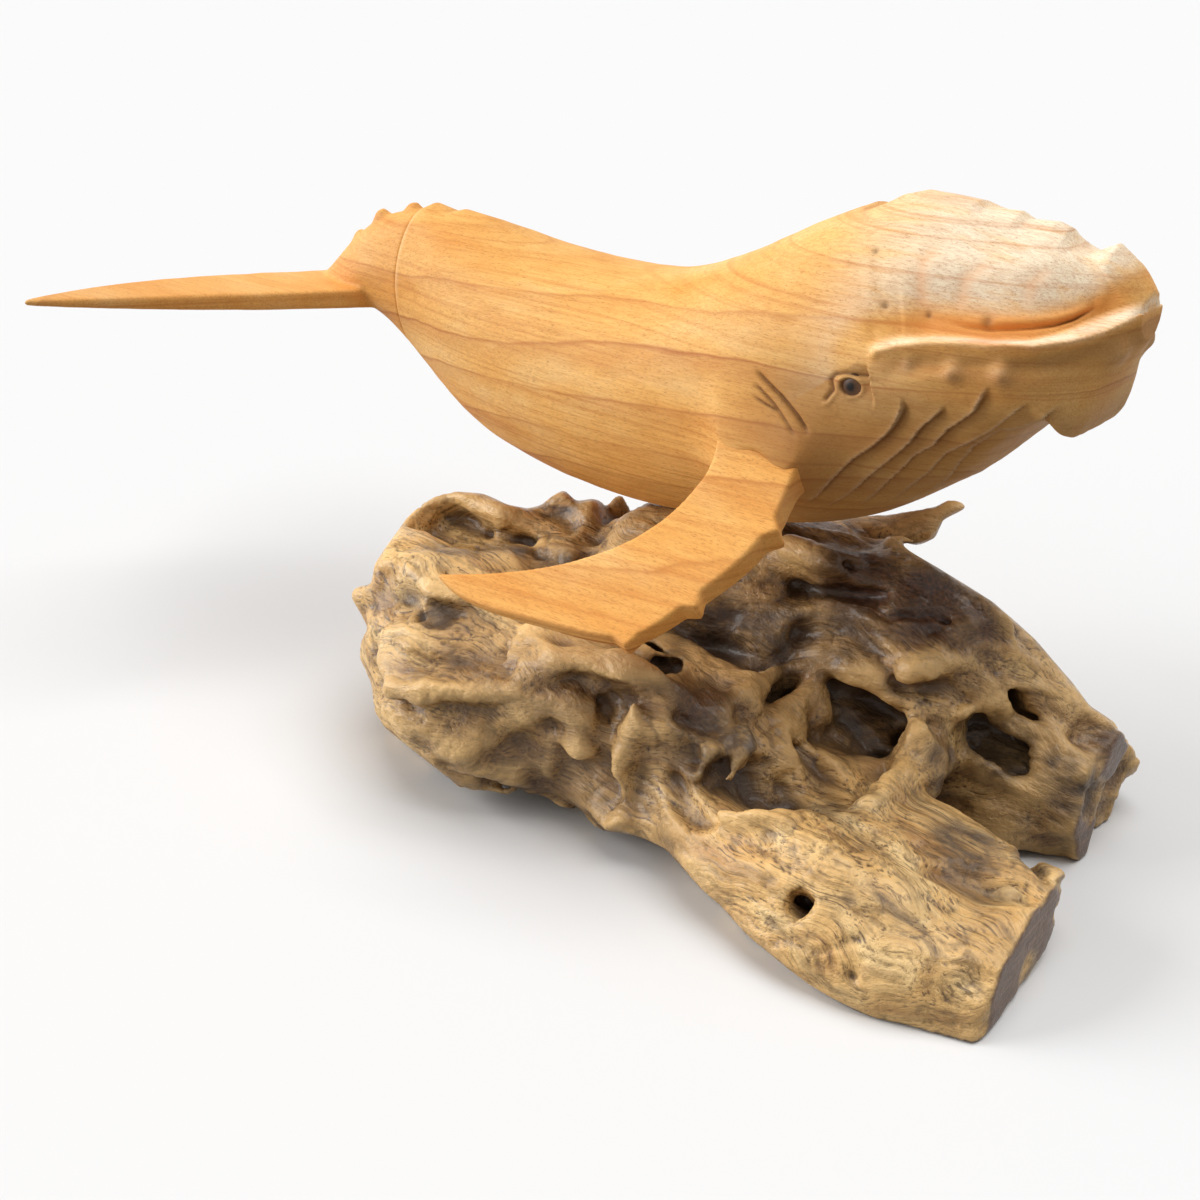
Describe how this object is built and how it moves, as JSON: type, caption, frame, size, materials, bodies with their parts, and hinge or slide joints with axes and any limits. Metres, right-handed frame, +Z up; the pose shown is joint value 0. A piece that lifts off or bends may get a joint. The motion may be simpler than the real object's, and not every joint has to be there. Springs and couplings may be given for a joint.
{
  "type": "whale figurine",
  "caption": "Carved wooden humpback whale with set-in flippers and glued-on tail flukes, standing on an upright pin in a gnarled root with sawn ends and a flat underside.",
  "frame": {"origin": "point of the flat underside straight below the mounting pin", "axes": "+X is the way the whale heads, +Z is up, and the whale's right side faces -Y"},
  "size_m": [0.3108, 0.1677, 0.1577],
  "materials": {
    "carved_wood": "satin oil",
    "dowel_wood": "bare",
    "eye_bead": "polished",
    "pin_steel": "bright",
    "root_wood": "gloss lacquer"
  },
  "bodies": {
    "base": {"root_base": "root_wood", "mounting_pin": "pin_steel"},
    "whale": {"whale_body": "carved_wood", "tail_flukes": "carved_wood", "right_flipper": "carved_wood", "left_flipper": "carved_wood", "right_flipper_dowel": "dowel_wood", "left_flipper_dowel": "dowel_wood", "tail_dowels": "dowel_wood", "right_eye": "eye_bead", "left_eye": "eye_bead"}
  },
  "joints": [
    {"name": "whale_lift", "type": "slide", "parent": "base", "child": "whale", "axis": [0, 0, 1], "range_m": [0, 0.06]}
  ]
}
